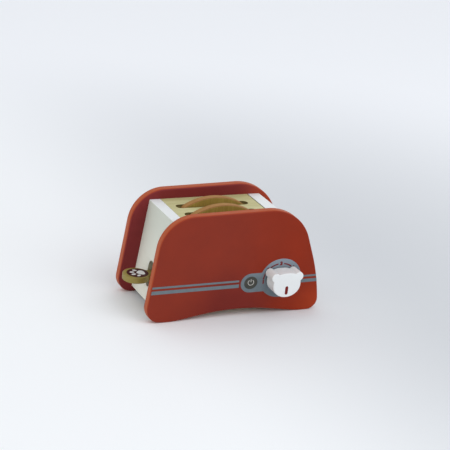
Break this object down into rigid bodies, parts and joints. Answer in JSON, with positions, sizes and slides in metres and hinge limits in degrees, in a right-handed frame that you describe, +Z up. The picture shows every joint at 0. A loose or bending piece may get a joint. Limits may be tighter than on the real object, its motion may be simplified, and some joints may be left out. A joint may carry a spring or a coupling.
{
  "type": "toy toaster",
  "caption": "Wooden toy toaster: red side panels, white end boards, slotted plywood top, toast slices, a sliding paddle lever and a turning dial knob.",
  "frame": {"origin": "middle of the whole toy's footprint, on the surface it stands on", "axes": "+X along the toaster, from the lever end to the far end; +Y from the dial side to the back; +Z up"},
  "size_m": [0.2388, 0.126, 0.134],
  "materials": {
    "red_lacquer": "brick red satin lacquer on fibreboard",
    "white_lacquer": "white satin lacquer on fibreboard and solid wood",
    "plywood": "clear matt varnish on pale plywood",
    "beech": "bare turned beech",
    "lever_wood": "oiled wood, edges rounded",
    "toast_wood": "stained wood, darker on the sawn edge",
    "zinc_steel": "zinc plated",
    "spring_steel": "drawn wire"
  },
  "bodies": {
    "housing": {"front_panel": "red_lacquer", "back_panel": "red_lacquer", "left_end_board": "white_lacquer", "right_end_board": "white_lacquer", "top_board": "plywood", "bottom_board": "plywood", "panel_dowels": "beech", "top_board_dowels": "beech", "bottom_board_dowels": "beech", "guide_rod_left": "beech", "guide_rod_right": "beech", "return_spring_left": "spring_steel", "return_spring_right": "spring_steel"},
    "carriage": {"carriage_base": "plywood", "middle_fence": "beech", "front_fence": "beech", "rear_fence": "beech", "lever": "lever_wood", "lever_screws": "zinc_steel"},
    "front_slice": {"front_toast": "toast_wood"},
    "rear_slice": {"rear_toast": "toast_wood"},
    "dial": {"dial_knob": "white_lacquer", "knob_spindle": "zinc_steel", "knob_washer": "zinc_steel", "spindle_washer": "zinc_steel", "spindle_cap": "zinc_steel"}
  },
  "joints": [
    {"name": "lever_slide", "type": "slide", "parent": "housing", "child": "carriage", "axis": [0, 0, 1], "range_m": [-0.0064, 0.0096], "stiffness_N_per_m": 180, "springref_m": 0.0071, "deforming": ["return_spring_left", "return_spring_right"]},
    {"name": "front_slice_lift", "type": "slide", "parent": "carriage", "child": "front_slice", "axis": [0, 0, 1], "range_m": [0, 0.115]},
    {"name": "rear_slice_lift", "type": "slide", "parent": "carriage", "child": "rear_slice", "axis": [0, 0, 1], "range_m": [0, 0.115]},
    {"name": "dial_turn", "type": "hinge", "parent": "housing", "child": "dial", "pos_m": [0.06302, -0.043, 0.0452], "axis": [0, 1, 0], "continuous": true}
  ]
}
